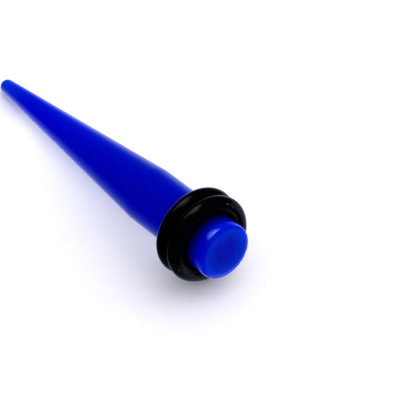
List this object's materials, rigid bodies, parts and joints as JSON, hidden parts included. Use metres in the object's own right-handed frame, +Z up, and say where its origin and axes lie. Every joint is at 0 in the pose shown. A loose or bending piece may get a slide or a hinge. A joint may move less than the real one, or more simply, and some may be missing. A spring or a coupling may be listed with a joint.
{
  "type": "ear stretching taper",
  "caption": "Solid blue acrylic spike for stretching an ear piercing, straight at the head, coned to a rounded tip, with black rubber retaining rings.",
  "frame": {"origin": "on the surface the taper lies on, under the middle of its overall box", "axes": "+X runs along the taper from the head to the tip, +Z is up, +Y is across"},
  "size_m": [0.0516, 0.0126, 0.0128],
  "materials": {
    "blue_acrylic": "polished",
    "black_rubber": "glossy"
  },
  "bodies": {
    "root": {"taper": "blue_acrylic", "o_ring_head_side": "black_rubber", "o_ring_tip_side": "black_rubber"}
  },
  "joints": []
}
